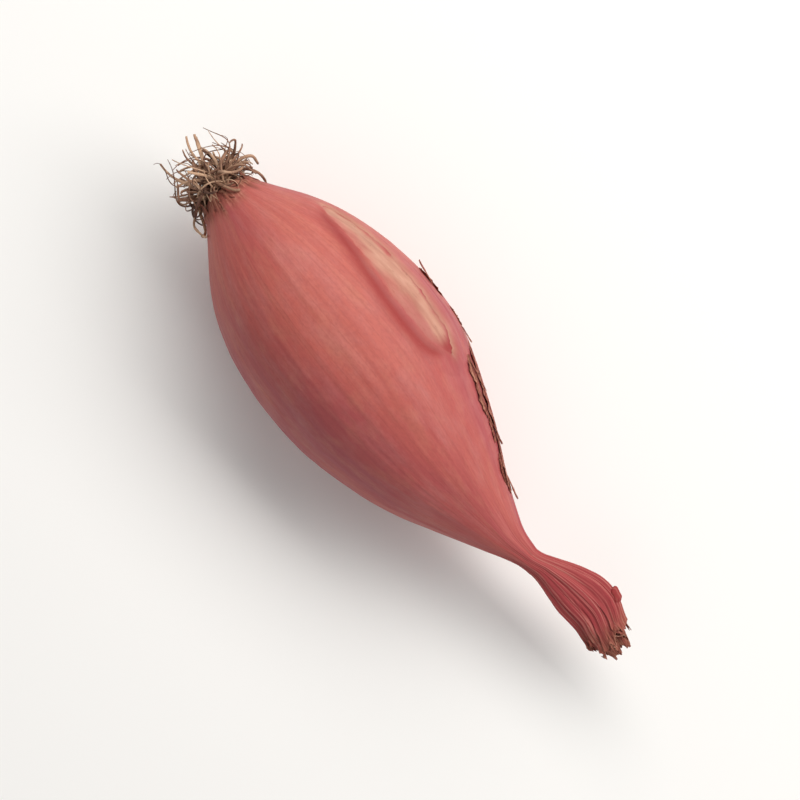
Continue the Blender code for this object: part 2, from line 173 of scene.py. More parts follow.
# The roots' lines are smoothed, and fine rootlets grow between them. The shapes are steps between points,
# spans of the thickness at both ends (mm) and of the flatness, and sides.
ROOT_SMOOTHING = 14
ROOT_SHAPE = (5, (0.7, 0.95), (0.25, 0.45), (0.55, 0.9), 9)
ROOTLET_SHAPE = (3, (0.22, 0.5), (0.1, 0.18), (0.6, 1.0), 6)
ROOTLETS = 120
ROOTLET_STEP = 0.7 * MM
ROOTLET_STEPS = (7, 20)
ROOTLET_LEAN = (0.2, 1.8)
ROOTLET_CURL = (0.1, 0.5)
ROOTLET_WANDER = 0.35
ROOTLETS_ROOTED = 0.9
ROOTLET_CLEAR_OF_BODY = 0.5 * MM
ROOTLETS_TURN_BACK = 0.6 * ROOT_ZONE_RADIUS
TURN_BACK_STRENGTH = 1.6
PLATE_SIDES = 96
PLATE_ROUGHNESS = 0.12 * MM

# The setting. The picture's right and up are turned, as the bulb's axis runs down to the right in it.
FLOOR_SIZE = 3.0
LIT_POINT = Vector((10 * MM, 0, 14 * MM))
LIGHTS = [  # name, place, length, width, power in watts, tint
    ("key", (-0.03, 0.5, 0.55), 1.9, 0.36, 9.9, (1.0, 0.98, 0.95)),
    ("fill", (0.3, -0.5, 0.45), 0.7, 0.7, 0.3, (0.95, 0.97, 1.0)),
]
ROOM_LIGHT = 0.36
CAMERA_LENS = 100
CAMERA_PLACE = (10.6 * MM, 0.8 * MM, 385 * MM)
PICTURE_RIGHT, PICTURE_UP = (0.645, 0.764, 0), (-0.764, 0.645, 0)

# Everything that is drawn by chance starts from its own seed
DENT_SEED, VEIN_SEED, WRINKLE_SEED, FIBRE_SEED, STRAW_SEED, LIP_SEED = 3, 5, 7, 13, 17, 19
SHEATH_SEED, SHRED_SEED, SCALE_SEED, ROOTLET_SEED, PLATE_SEED = 23, 29, 31, 37, 41


# The form of the bulb


def smooth_through(points, x):
    """Values at x of a smooth curve through (x, value) points, level beyond both its ends."""
    xs, ys = np.array(points, float).T
    number = np.arange(len(xs))
    low, high = (number - 1).clip(0), (number + 1).clip(max=len(xs) - 1)
    slopes = (ys[high] - ys[low]) / (xs[high] - xs[low])
    x = np.clip(x, xs[0], xs[-1])
    i = np.clip(np.searchsorted(xs, x, side="right") - 1, 0, len(xs) - 2)
    span = xs[i + 1] - xs[i]
    t = (x - xs[i]) / span
    return (
        ys[i] * (2 * t**3 - 3 * t**2 + 1)
        + slopes[i] * span * (t**3 - 2 * t**2 + t)
        + ys[i + 1] * (3 * t**2 - 2 * t**3)
        + slopes[i + 1] * span * (t**3 - t**2)
    )


def smooth_step(low, high, x):
    t = np.clip((x - low) / (high - low), 0.0, 1.0)
    return t * t * (3 - 2 * t)


def soft_noise(turns, share, round_cells, along_cells, seed):
    """Smooth seeded noise between -1 and 1 that closes on itself after one turn."""
    lattice = np.random.default_rng(seed).uniform(-1, 1, (along_cells + 2, round_cells))
    u = np.mod(turns, 1.0) * round_cells
    v = np.clip(share, 0.0, 1.0) * along_cells
    column, row = np.floor(u).astype(int), np.floor(v).astype(int)
    fu, fv = smooth_step(0, 1, u - column), smooth_step(0, 1, v - row)
    near, far = column % round_cells, (column + 1) % round_cells
    start = lattice[row, near] * (1 - fu) + lattice[row, far] * fu
    end = lattice[row + 1, near] * (1 - fu) + lattice[row + 1, far] * fu
    return start * (1 - fv) + end * fv


def layered_noise(turns, share, layers, seed):
    """Soft noise of several layers, each given as its size and its cells round and along."""
    return sum(
        size * soft_noise(turns, share, round_cells, along_cells, seed + number)
        for number, (size, round_cells, along_cells) in enumerate(layers)
    )


def line_noise(x, layers, seed):
    """Soft noise along a line, of layers given as (size, cells)."""
    return layered_noise(x, 0.5, [(size, cells, 1) for size, cells in layers], seed)


def ragged(angle, turn=0.0):
    """A torn edge's height round the bulb, between -1 and 1."""
    return sum(size * np.sin(count * angle + phase + turn) for count, size, phase in TORN_WAVES)


def middle(along):
    """The middle of the bulb at these distances from the root end, as x, y and z."""
    on_body, on_neck = along / BODY_LENGTH, (along - BODY_LENGTH) / NECK_LENGTH
    body = along <= BODY_LENGTH
    sideways = np.where(body, smooth_through(BODY_SIDEWAYS, on_body), smooth_through(NECK_SIDEWAYS, on_neck))
    droop = np.where(body, smooth_through(BODY_DROOP, on_body), smooth_through(NECK_DROOP, on_neck))
    return along - ROOT_END_TO_ORIGIN, sideways * MM, BODY_HEIGHT / 2 - FLAT_DEPTH + droop * MM


def half_sizes(along):
    """Half the width and half the height of the bulb at these distances from the root end."""
    share = smooth_through(BODY_PROFILE, along / BODY_LENGTH)
    on_neck = (along - BODY_LENGTH) / NECK_LENGTH
    body = along <= BODY_LENGTH
    return (
        np.where(body, share * BODY_WIDTH / 2, smooth_through(NECK_HALF_WIDTH, on_neck) * MM),
        np.where(body, share * BODY_HEIGHT / 2, smooth_through(NECK_HALF_THICKNESS, on_neck) * MM),
    )


def eased(values_at, along):
    """Values along the bulb, averaged where the body meets the neck, so that the pinch is round."""
    near = np.exp(-(((along - BODY_LENGTH) / PINCH_REACH) ** 2))
    parts = [values_at(along + step) for step in PINCH_STEPS]
    return [part[len(part) // 2] * (1 - near) + sum(part) / len(part) * near for part in zip(*parts)]


def body_weight(along):
    """1 on the belly of the bulb, and 0 at the root end and on the neck."""
    share = along / BODY_LENGTH
    return smooth_step(0.0, FACETS_FULL[0], share) * (1 - smooth_step(FACETS_FULL[1], 1.0, share))


def neck_weight(along):
    """0 on the body, rising to 1 where the skin is gathered into pleats."""
    return smooth_step(PLEATS_BEGIN, PLEATS_FULL, along)


def across_split(along, angle):
    """Degrees from the middle of the long split in the skin, and the split's half width there."""
    share = along / BODY_LENGTH
    from_middle = np.degrees(angle) % 360 - smooth_through(SPLIT_MIDDLE, share)
    from_middle = (from_middle + 180) % 360 - 180
    return from_middle, smooth_through(SPLIT_HALF_WIDTH, share)


def crease_line(along, angle, beyond=CREASE_BEYOND_SPLIT, spread=CREASE_HALF_WIDTH):
    """1 in the crease along the split's upper lip, falling to 0 on both sides."""
    from_middle, half_width = across_split(along, angle)
    fade = smooth_step(0, SPLIT_HALF_WIDTH[1][1], half_width)
    return fade * np.exp(-(((from_middle - half_width - beyond) / spread) ** 2))


def split_relief(along, angle):
    """How far the skin sinks in the split and in the crease along its upper lip."""
    from_middle, half_width = across_split(along, angle)
    inside = 1 - smooth_step(half_width - SPLIT_EDGE, half_width + SPLIT_EDGE, np.abs(from_middle))
    fade = smooth_step(0, SPLIT_HALF_WIDTH[1][1], half_width)
    return fade * SPLIT_DEPTH * inside + CREASE_DEPTH * crease_line(along, angle)


def vein_ridges(along, angle):
    """How strongly a vein of the leaf shows here, from 0 to 1. Veins run from the roots to the neck."""
    draw = np.random.default_rng(VEIN_SEED)
    share = along / BODY_LENGTH
    radius = sum(half_sizes(along)) / 2
    strongest = np.zeros(np.broadcast(along, angle).shape)
    for number in range(VEINS):
        sway, turns, turn = draw.uniform(-0.05, 0.05), draw.uniform(1, 2.4), draw.uniform(0, 6.3)
        root = 2 * np.pi * (number + draw.uniform(-0.38, 0.38)) / VEINS
        strength = draw.uniform(0.15, 1.0) ** 1.5
        strength = strength * np.exp(-(((share - draw.uniform(0.1, 0.9)) / draw.uniform(0.3, 0.8)) ** 2))
        apart = angle - root - sway * np.sin(turns * np.pi * share + turn)
        apart = (apart + np.pi) % (2 * np.pi) - np.pi
        strongest = np.maximum(strongest, strength * np.exp(-((apart * radius / VEIN_HALF_WIDTH) ** 2)))
    return strongest


def low_relief(along, angle):
    """How far the dry film stands out from the smooth form. It mostly sinks, to stay inside it."""
    turns, share = angle / (2 * np.pi), along / LENGTH
    belly, neck = body_weight(along), neck_weight(along)
    gathered = smooth_step(*SHOULDER, along) * (1 - 0.75 * neck)
    relief = belly * DENT_DEPTH * (0.6 * layered_noise(turns, share, DENTS, DENT_SEED) - 0.7)
    relief += belly * WRINKLE_DEPTH * (layered_noise(turns, share, WRINKLES, WRINKLE_SEED) - 1)
    relief += belly * VEIN_HEIGHT * (vein_ridges(along, angle) - 1)
    relief += gathered * GATHER_DEPTH * (layered_noise(turns, share, GATHERS, FIBRE_SEED) - 0.8)
    fibres = layered_noise(turns, share, FIBRES, FIBRE_SEED + 1)
    return relief + neck * FIBRE_HEIGHT * (0.7 * fibres - 0.5)


def surface(place, angle, lift=0.0):
    """Points of the skin at these distances from the root end and angles round from +Y towards +Z.
    The rings are warped to follow the ragged rim and tip, and lift stands them off the skin."""
    place, angle, lift = np.broadcast_arrays(place, angle, lift)
    rim_pull = 1 - smooth_step(0.0, RIM_TEAR_REACH, place)
    tip_pull = smooth_step(LENGTH - TIP_TEAR_REACH, LENGTH, place)
    along = place + rim_pull * RIM_RAGGEDNESS * ragged(angle)
    along = along + tip_pull * (TIP_RAGGEDNESS * ragged(angle, 1.0) - TIP_SETBACK)

    half_width, half_height = eased(half_sizes, along)
    facets = sum(size * np.cos(count * angle + phase) for count, size, phase in FACETS)
    pleats = np.sin(PLEATS * angle + PLEAT_TURN) * (1 + PLEAT_UNEVENNESS * np.sin(2 * angle))
    swell = 1 + body_weight(along) * facets + neck_weight(along) * PLEAT_DEPTH * pleats
    radial = lift - split_relief(along, angle) + low_relief(along, angle)
    y = np.cos(angle) * (half_width * swell + radial)
    z = np.sin(angle) * (half_height * swell + radial)
    twist = np.radians(smooth_through(NECK_TWIST, (along - BODY_LENGTH) / NECK_LENGTH))
    middle_x, middle_y, middle_z = eased(middle, along)
    turned_y = y * np.cos(twist) - z * np.sin(twist)
    turned_z = y * np.sin(twist) + z * np.cos(twist)
    return np.stack((middle_x, middle_y + turned_y, middle_z + turned_z), axis=-1)


# Mesh making: a part is (points, faces, values), where values are named numbers at each point


def grid_faces(rows, columns, closed):
    """Four-sided faces of a grid of points, which closes on itself across its columns if asked."""
    index = np.arange(rows * columns).reshape(rows, columns)
    if closed:
        index = np.concatenate((index, index[:, :1]), axis=1)
    corners = index[:-1, :-1], index[1:, :-1], index[1:, 1:], index[:-1, 1:]
    return np.stack([corner.ravel() for corner in corners], axis=1).tolist()


def capped_faces(rows, columns):
    """Faces of a grid closed across its columns, and fans from its first and last row to the two end
    points that follow the grid's own."""
    faces, count = grid_faces(rows, columns, True), rows * columns
    last_row = count - columns
    for i in range(columns):
        j = (i + 1) % columns
        faces += [[count, i, j], [count + 1, last_row + j, last_row + i]]
    return faces


def flat_values(values, shape):
    """Named numbers or vectors on a grid, as one row of them for the grid's points."""
    flat = {}
    for name, value in values.items():
        tail = np.shape(value)[len(shape):]
        flat[name] = np.broadcast_to(value, shape + tail).reshape(-1, *tail)
    return flat


def with_ends(values):
    """The same named numbers, with those of the two end points added."""
    return {name: np.concatenate((value, value[:1], value[-1:])) for name, value in values.items()}


def normals_of(points):
    """Unit normals of a grid of points."""
    along, across = np.gradient(points, axis=0), np.gradient(points, axis=1)
    normal = np.cross(across, along)
    return normal / np.maximum(np.linalg.norm(normal, axis=-1, keepdims=True), 1e-12)


def thin_sheet(points, film, values, closed=False):
    """A closed sheet of this thickness: a grid, the same grid sunk along its normals, and its edge."""
    rows, columns = points.shape[:2]
    if closed:
        wrapped = np.concatenate((points[:, -1:], points, points[:, :1]), axis=1)
        out = normals_of(wrapped)[:, 1:-1]
    else:
        out = normals_of(points)
    under = points - out * np.broadcast_to(film, (rows, columns))[..., None]
    count = rows * columns
    faces = grid_faces(rows, columns, closed)
    index = np.arange(count).reshape(rows, columns)
    if closed:
        edges = [np.append(index[0], index[0, 0]), np.append(index[-1], index[-1, 0])]
    else:
        edges = [np.concatenate((index[0], index[1:, -1], index[-1, -2::-1], index[-2::-1, 0]))]
    faces += [[a + count for a in face[::-1]] for face in faces]
    for edge in edges:
        edge = edge.tolist()
        faces += [[a, b, b + count, a + count] for a, b in zip(edge, edge[1:])]
    both = {name: np.concatenate((v, v)) for name, v in flat_values(values, (rows, columns)).items()}
    return np.concatenate((points.reshape(-1, 3), under.reshape(-1, 3))), faces, both


def tube(centres, half_widths, flatness, sides, values):
    """A closed tube along a line of points, oval across and pointed at its ends."""
    ahead = np.gradient(centres, axis=0)
    ahead /= np.linalg.norm(ahead, axis=1, keepdims=True)
    beside = np.cross(ahead[0], (0.3, 0.5, 0.8))
    rings = []
    for i, point in enumerate(centres):
        beside = beside - ahead[i] * np.dot(beside, ahead[i])
        beside = beside / np.linalg.norm(beside)
        other = np.cross(ahead[i], beside)
        turn = 2 * np.pi * np.arange(sides) / sides + 1.1 * i / len(centres)
        oval = np.cos(turn)[:, None] * beside + flatness * np.sin(turn)[:, None] * other
        rings.append(point + half_widths[i] * oval)
    points = np.concatenate((np.concatenate(rings), centres[:1], centres[-1:]))
    spread = {name: np.repeat(value, sides, axis=0) for name, value in values.items()}
    return points, capped_faces(len(centres), sides), with_ends(spread)


def one_piece(name, parts, sharp=60):
    """One object of several parts, with their named numbers as attributes of its points."""
    points, faces, start = [], [], 0
    for part_points, part_faces, _ in parts:
        points.append(part_points)
        faces += [[a + start for a in face] for face in part_faces]
        start += len(part_points)
    mesh = bpy.data.meshes.new(name)
    mesh.from_pydata(np.concatenate(points).tolist(), [], faces)
    for value_name in parts[0][2]:
        values = np.concatenate([part[2][value_name] for part in parts]).astype(np.float32)
        kind = "FLOAT_VECTOR" if values.ndim == 2 else "FLOAT"
        field = mesh.attributes.new(value_name, kind, "POINT")
        field.data.foreach_set("vector" if values.ndim == 2 else "value", values.ravel())
    bm = bmesh.new()
    bm.from_mesh(mesh)
    bmesh.ops.recalc_face_normals(bm, faces=bm.faces)
    bm.to_mesh(mesh)
    bm.free()
    mesh.shade_smooth()
    mesh.set_sharp_from_angle(angle=math.radians(sharp))
    piece = bpy.data.objects.new(name, mesh)
    bpy.context.scene.collection.objects.link(piece)
    return piece


# What the skin's material reads at each point


def skin_values(along, angle):
    """Where the leaf's grain runs, and how much each place is straw, shaded, dry, vein and neck."""
    along, angle = np.broadcast_arrays(along, angle)
    turns, share = angle / (2 * np.pi), along / LENGTH
    from_middle, half_width = across_split(along, angle)
    wobble = layered_noise(turns, share, STRAW_EDGE, STRAW_SEED)
    inside = 1 - smooth_step(half_width - 2.2, half_width + 1.6, np.abs(from_middle) + wobble)
    straw = inside * smooth_step(1.0, 5.0, half_width) * (1 - smooth_step(*STRAW_STOPS, along))
    patchy = layered_noise(turns, share, STRAW_PATCHES, STRAW_SEED + 2)
    straw = straw * (1 - 0.5 * smooth_step(-1.5, 6.5, from_middle + 3.0 * patchy) - 0.08 * (1 + patchy))
    # Painted shade: a dark band in the crease beyond the split's upper lip, and a darker patch at the fold
    # where the split ends
    fold_shade = ((along - FOLD_SHADE_MIDDLE) / FOLD_SHADE_HALF_LENGTH) ** 2 + ((from_middle + 1.5) / FOLD_SHADE_HALF_ANGLE) ** 2
    shade = np.maximum(crease_line(along, angle, 5.8, 5.2), np.exp(-fold_shade))
    rim = 1 - smooth_step(*BROWN_RIM, along + 1.2 * MM * soft_noise(turns, share, 40, 30, SCALE_SEED))
    tip = smooth_step(*BROWN_TIP, along + 2.2 * MM * soft_noise(turns, share, 30, 20, SCALE_SEED + 1))
    radius = BODY_WIDTH / 2 / MM
    return {
        "grain": np.stack((np.cos(angle) * radius, np.sin(angle) * radius, along / MM), axis=-1),
        "straw": straw,
        "shade": shade * (1 - 0.7 * straw),
        "dryness": np.maximum(rim, tip),
        "vein": vein_ridges(along, angle),
        "neck": smooth_step(*NECK_REDDENS, along),
    }


# The pieces


def sector_angles():
    """Angles round the bulb, closer together where the skin is split."""
    even = 2 * np.pi * np.arange(SECTORS) / SECTORS
    return even - SECTOR_CROWDING * np.sin(even - CROWDED_ANGLE)


def bulb_skin():
    """The whole bulb in its dry skin: a socket at the roots, the body, and the neck with its torn mouth."""
    angle = sector_angles()[None, :]
    even = np.arange(BODY_RINGS) / BODY_RINGS
    crowded = (1 - np.cos(np.pi * even)) / 2
    body = BODY_LENGTH * (END_CROWDING * crowded + (1 - END_CROWDING) * even)
    neck = np.linspace(BODY_LENGTH, LENGTH, NECK_RINGS)
    place = np.concatenate((body, neck))[:, None]
    skin = surface(place, angle)

    socket_radius = PLATE_RADIUS + NODE_GAP
    socket_middle = np.array(middle(np.array(SOCKET_DEPTH)))
    circle = np.stack((0 * angle[0], np.cos(angle[0]), np.sin(angle[0])), axis=-1)
    socket = socket_middle + circle * socket_radius
    lip = 0.55 * skin[0] + 0.45 * (socket - [SOCKET_DEPTH, 0, 0])

    mouth = skin[-1].mean(axis=0)
    inward = np.array(middle(np.array(BODY_LENGTH + 0.5 * NECK_LENGTH))) - mouth
    inward /= np.linalg.norm(inward)
    walls = [mouth + share * (skin[-1] - mouth) + inward * depth for share, depth in MOUTH_WALL]
    points = np.stack([socket, lip, *skin, *walls])
    points[..., 2] = np.maximum(points[..., 2], 0.0)
    rows = len(points)
    ends = np.stack((socket_middle, mouth + inward * MOUTH_DEPTH))

    places = np.concatenate((np.zeros((2, 1)), place, np.full((len(MOUTH_WALL), 1), LENGTH)))
    values = skin_values(places, angle)
    values["dryness"][:2] = values["dryness"][-len(MOUTH_WALL):] = 1.0
    values = with_ends(flat_values(values, (rows, SECTORS)))
    all_points = np.concatenate((points.reshape(-1, 3), ends))
    return one_piece("bulb_skin", [(all_points, capped_faces(rows, SECTORS), values)])


def split_outline(count):
    """The edge of the split as (distance from the root end, angle), evenly spaced round it."""
    share = np.linspace(*SPLIT_ENDS, 400)
    middle_angle, half_width = smooth_through(SPLIT_MIDDLE, share), smooth_through(SPLIT_HALF_WIDTH, share)
    there = np.concatenate((share, share[::-1])) * BODY_LENGTH
    angle = np.radians(np.concatenate((middle_angle + half_width, (middle_angle - half_width)[::-1])))
    flat = np.stack((there, angle * BODY_WIDTH / 2), axis=-1)
    closed = np.concatenate((flat, flat[:1]))
    run = np.concatenate(([0], np.cumsum(np.linalg.norm(np.diff(closed, axis=0), axis=1))))
    even = np.linspace(0, run[-1], count, endpoint=False)
    outline = np.stack([np.interp(even, run, closed[:, k]) for k in (0, 1)], axis=-1)
    for _ in range(LIP_SMOOTHING):
        outline = (np.roll(outline, 1, axis=0) + outline * 2 + np.roll(outline, -1, axis=0)) / 4
    return outline


def torn_lip():
    """The outer film round the split: it rises out of the skin, and its torn edge stands a little proud."""
    outline = split_outline(LIP_POINTS)
    ahead = np.roll(outline, -3, axis=0) - np.roll(outline, 3, axis=0)
    outward = np.stack((-ahead[:, 1], ahead[:, 0]), axis=-1)
    outward /= np.linalg.norm(outward, axis=1, keepdims=True)
    if np.sum(outward * (outline - outline.mean(axis=0))) < 0:
        outward = -outward
    turns = np.arange(len(outline)) / len(outline)
    tear = line_noise(turns, [(1, 34), (0.55, 110), (0.3, 240)], LIP_SEED)
    upper = smooth_step(-0.2, 0.6, outward[:, 1])
    right = smooth_step(0.2, 0.9, outward[:, 0])
    proud = 0.09 * upper + 0.1 * right * smooth_step(-0.5, 0.3, outward[:, 1])
    proud = proud + 0.06 * upper * np.maximum(soft_noise(turns, 0.5, 26, 1, LIP_SEED + 3), 0)
    steps = np.array(LIP_STEPS)[:, None] * MM
    reach = steps + (0.1 + 0.34 * tear) * MM * np.exp(-steps / (1.6 * MM))
    flat = outline[None] + outward[None] * reach[..., None]
    place, angle = flat[..., 0], flat[..., 1] / (BODY_WIDTH / 2)
    rise = proud * np.exp(-((steps / (1.5 * MM)) ** 2)) * MM
    sink = 0.3 * MM * smooth_step(2.2 * MM, 5.2 * MM, steps)
    film = LIP_FILM * (0.25 + 0.75 * smooth_step(0, 1.2 * MM, steps))
    points = surface(place, angle, film + 0.005 * MM + rise - sink)
    values = skin_values(place, angle)
    thin = 0.8 - 0.75 * upper + 0.2 * soft_noise(turns, 0.5, 20, 1, LIP_SEED + 4)
    values["straw"] = np.clip(thin, 0.0, 0.95) * np.exp(-((steps / (1.1 * MM)) ** 1.3))
    return one_piece("torn_lip", [thin_sheet(points, film, values, closed=True)])


def strip(foot, angle, length, width, drift, lift, curl, dry, seed, heading=1, cup=0.5, tear=0.6, taper=0.7,
          rows=44, columns=13, film=SKIN_FILM, hold=0.25, furrows=0.05, foot_width=1.0, wave=0.12, rag=0.35,
          stand=0.0, browns=(0.02, 0.6)):
    """A strip of dry leaf that leaves the skin. Sizes are in mm and degrees: foot and angle are where it
    leaves, heading the way it runs, drift how far it slews, curl how far its tip turns away (radians), cup how
    far its sides do, tear how ragged its end is and rag its sides, hold the share of it that still clings to
    the skin, foot_width its width there as a share, wave how far the loose part bends up and down, stand how
    far it stands off the skin, and browns the stretch over which it turns brown."""
    t = np.linspace(0, 1, rows)
    s = np.linspace(-1, 1, columns)
    step = length * MM / (rows - 1)
    loose = np.clip((t - hold) / (1 - hold), 0, 1)
    pitch = curl * loose**1.6 + 0.12 * lift * smooth_step(0, 0.5, loose)
    run = np.concatenate(([0], np.cumsum(np.cos(pitch[:-1]) * step)))
    rise = np.concatenate(([0], np.cumsum(np.sin(pitch[:-1]) * step)))
    ends = line_noise(s / 2 + 0.5, [(1, 5), (0.6, 13)], seed) * tear * MM
    place = foot * MM + heading * (run[:, None] + ends[None, :] * t[:, None] ** 3)
    left = line_noise(t / 1.5, [(1, 7), (0.6, 23)], seed + 2)
    right = line_noise(t / 1.5, [(1, 8), (0.6, 21)], seed + 4)
    width_there = width * MM / 2 * (1 - taper * smooth_step(0.25, 1.0, t))
    width_there = width_there * (foot_width + (1 - foot_width) * smooth_step(0.0, 0.35, t))
    sides = np.where(s[None, :] < 0, left[:, None], right[:, None]) * rag * MM * (1 - t[:, None] ** 5)
    half = np.maximum(width_there[:, None] + sides * np.abs(s)[None, :], 0.12 * MM)
    roll = np.maximum(cup * loose, 0.02)[:, None]
    across = half * np.sin(roll * s[None, :]) / roll
    cupped = half * (1 - np.cos(roll * s[None, :])) / roll
    radius = np.maximum(sum(half_sizes(np.minimum(place, LENGTH))) / 2, 1.5 * MM)
    angles = np.radians(angle + drift * t**2)[:, None] + across / radius
    start = -0.35 * MM * (1 - smooth_step(0.0, 0.25, t))
    gather = furrows * MM * soft_noise(s / 2 + 0.5, 0.5, max(int(width * 3.6), 3), 1, seed + 6)[None, :]
    creep = wave * MM * soft_noise(t[:, None] / 2, s[None, :] / 2 + 0.5, 9, 3, seed + 7)
    off = stand * MM * smooth_step(0.0, 0.45, loose)
    height = (start + rise + off)[:, None] + cupped + SKIN_FILM + gather + creep * loose[:, None]
    points = surface(place, angles, height)
    values = skin_values(np.clip(place, 0, LENGTH), angles)
    ragged_edge = smooth_step(0.75, 1.0, np.maximum(np.abs(s)[None, :], t[:, None]))
    browned = dry * smooth_step(*browns, t)[:, None]
    browned = browned + 0.25 * ragged_edge * smooth_step(browns[0], 1.0, t)[:, None]
    values["dryness"] = np.maximum(values["dryness"], np.clip(browned, 0, 1))
    values["straw"] = np.zeros_like(place)
    return thin_sheet(points, film * (1 - 0.45 * ragged_edge), values)


def neck_sheaths():
    """The dry leaf bases round the neck: overlapping strips with torn brown ends, each a thin sheet."""
    draw = random.Random(SHEATH_SEED)
    routes = [  # foot, angle, length, width, drift, lift, curl, dryness
        (76.0, 92, 23.6, 6.4, 4, 0.15, 0.1, 0.35),
        (78.0, 40, 21.0, 5.2, -6, 0.3, 0.2, 0.4),
        (77.0, 140, 20.5, 5.6, 10, 0.2, 0.1, 0.4),
        (80.0, 72, 20.2, 4.0, 8, 0.35, 0.3, 0.5),
        (79.0, 205, 20.0, 5.0, -8, 0.2, 0.2, 0.5),
        (79.5, 320, 20.5, 5.0, 6, 0.3, 0.2, 0.5),
        (78.5, 265, 21.0, 5.6, 0, 0.15, 0.15, 0.4),
        (84.0, 110, 16.5, 3.4, -10, 0.5, 0.4, 0.6),
        (86.0, 55, 14.0, 3.0, 12, 0.5, 0.5, 0.6),
        (88.0, 172, 10.5, 2.8, 6, 0.4, 0.5, 0.7),
    ]
    return one_piece("neck_sheaths", [
        strip(*route, draw.randrange(1, 9999), cup=0.3, tear=1.1, taper=0.45, rows=60, columns=57, hold=0.55,
              browns=(0.74, 1.0))
        for route in routes
    ])


def neck_shreds():
    """Small shreds at the neck's torn end, its pale curled rim, and a rolled scroll on its side."""
    draw = random.Random(SHRED_SEED)
    routes = [  # foot, angle, length, width, drift, lift, curl, dryness, cup
        (94.0, 196, 5.6, 1.9, 10, 1.6, 0.5, 0.8, 0.8),
        (96.0, 88, 5.0, 1.6, -14, 1.2, 0.7, 1.0, 0.7),
        (96.5, 40, 4.8, 1.4, 10, 1.0, 0.9, 0.9, 0.8),
        (97.0, 130, 4.3, 1.3, 16, 1.0, 0.6, 1.0, 0.8),
        (95.5, 300, 5.6, 1.7, -10, 0.8, 0.4, 0.9, 0.6),
        (96.8, 240, 4.5, 1.3, 8, 0.7, 0.5, 1.0, 0.9),
        (97.4, 66, 4.0, 1.0, 22, 1.3, 1.3, 0.7, 0.9),
        (92.0, 150, 6.0, 1.3, -16, 0.9, 0.6, 0.6, 1.1),
    ]
    made = [
        strip(*route, draw.randrange(1, 9999), cup=cup, tear=0.7, taper=0.75, hold=0.3, rag=0.28)
        for *route, cup in routes
    ]
    pale_rim = strip(98.3, 62, 3.0, 2.2, 6, 1.6, 1.8, 0.5, draw.randrange(1, 9999), tear=0.4, taper=0.4,
                     rows=34, hold=0.2, rag=0.2)
    pale_rim[2]["straw"] = pale_rim[2]["straw"] + 0.9
    pale_rim[2]["dryness"] = pale_rim[2]["dryness"] * 0.15
    made.append(pale_rim)

    # A rolled edge of skin, which stands out of the neck's +Y side, darkened with the painted shade's deep red
    scroll = flake(92.4, 94.9, -4, 2.5, 5.2, 0.05, 0.0, draw.randrange(1, 9999),
                   rows=60, columns=41, cling=0.1, uneven=0.06, sunk=0.15)
    scroll[2]["shade"] = scroll[2]["shade"] + 0.6
    made.append(scroll)
    return one_piece("neck_shreds", made)


def flake(first, last, low, width, roll, tear, dry, seed, rows=130, columns=25, cling=0.35,
          uneven=USUAL_UNEVENNESS, sunk=0.0, brown_from=-0.2):
    """A sheet of old skin that clings along one side and curls off along the other, which is torn. It runs
    from first to last (mm from the root end) with its clinging side at low (degrees). Its width is in mm,
    roll is how far the loose side turns (radians) and uneven by what share that varies, tear how ragged it is
    (mm), cling the share of it that clings, sunk how deep that sits in the skin below (mm), and brown_from
    where across it the brown begins."""
    t, s = np.linspace(0, 1, rows), np.linspace(0, 1, columns)
    start_jags, stop_jags = (
        sum(size * soft_noise(s / 1.5, 0.5, cells, 1, seed + k) for size, cells in ((1, 7), (0.7, 21)))
        for k in (10, 11))
    starts = first + 1.6 * tear * start_jags + 0.8 * tear * s
    stops = last + 2.2 * tear * stop_jags - 0.8 * tear * s
    place = (starts + (stops - starts) * t[:, None]) * MM
    torn = line_noise(t / 1.5, [(1, 9), (0.7, 27)], seed + 1)
    torn = np.round(2.5 * torn) / 2.5 + 0.3 * soft_noise(t / 1.5, 0.5, 80, 1, seed + 3)
    wide = 0.75 + 0.25 * smooth_step(0, 0.15, t) * (1 - smooth_step(0.8, 1, t))
    reach = np.maximum((width + tear * torn) * wide, 0.3) * MM
    turn = (roll * (1 - 0.7 * uneven + uneven * soft_noise(t / 1.5, 0.5, 6, 1, seed + 4)))[:, None]
    free = np.clip((s - cling) / (1 - cling), 0, 1)[None, :]
    flat = reach[:, None] * np.minimum(s, cling)[None, :]
    bend = reach[:, None] * (1 - cling) / turn
    across, height = flat + bend * np.sin(turn * free), bend * (1 - np.cos(turn * free))
    lumpy = uneven / USUAL_UNEVENNESS
    edge = soft_noise(t / 1.5, 0.5, 12, 1, seed + 5)[:, None] * lumpy * 0.5 * MM * (1 - s)
    half_width, half_height = half_sizes(np.minimum(place, LENGTH))
    low = math.radians(low)
    radius = np.hypot(half_width * math.sin(low), half_height * math.cos(low))
    angles = low + (across + edge) / radius
    ends = (1 - smooth_step(0, 0.07, t) + smooth_step(0.93, 1, t))[:, None]
    crumple = soft_noise(t[:, None] / 1.5, s[None, :] / 1.5, 22, 7, seed + 6) * free * lumpy * 0.16 * MM
    points = surface(place, angles, height + crumple + (0.1 - sunk - 0.14 * (1 - s / 0.2).clip(0)) * MM)
    values = skin_values(np.clip(place, 0, LENGTH), angles)
    patchy = 0.22 * soft_noise(t[:, None] / 1.5, s[None, :] / 1.5, 17, 5, seed + 7)
    browned = dry * smooth_step(brown_from, brown_from + 0.75, s[None, :] + patchy + 0.5 * ends)
    values["dryness"] = np.maximum(values["dryness"], np.clip(browned, 0, 1))
    values["straw"], values["shade"] = np.zeros_like(place), np.zeros_like(place)
    return thin_sheet(points, FLAKE_FILM * (1 - 0.5 * smooth_step(0.7, 1, s)), values)


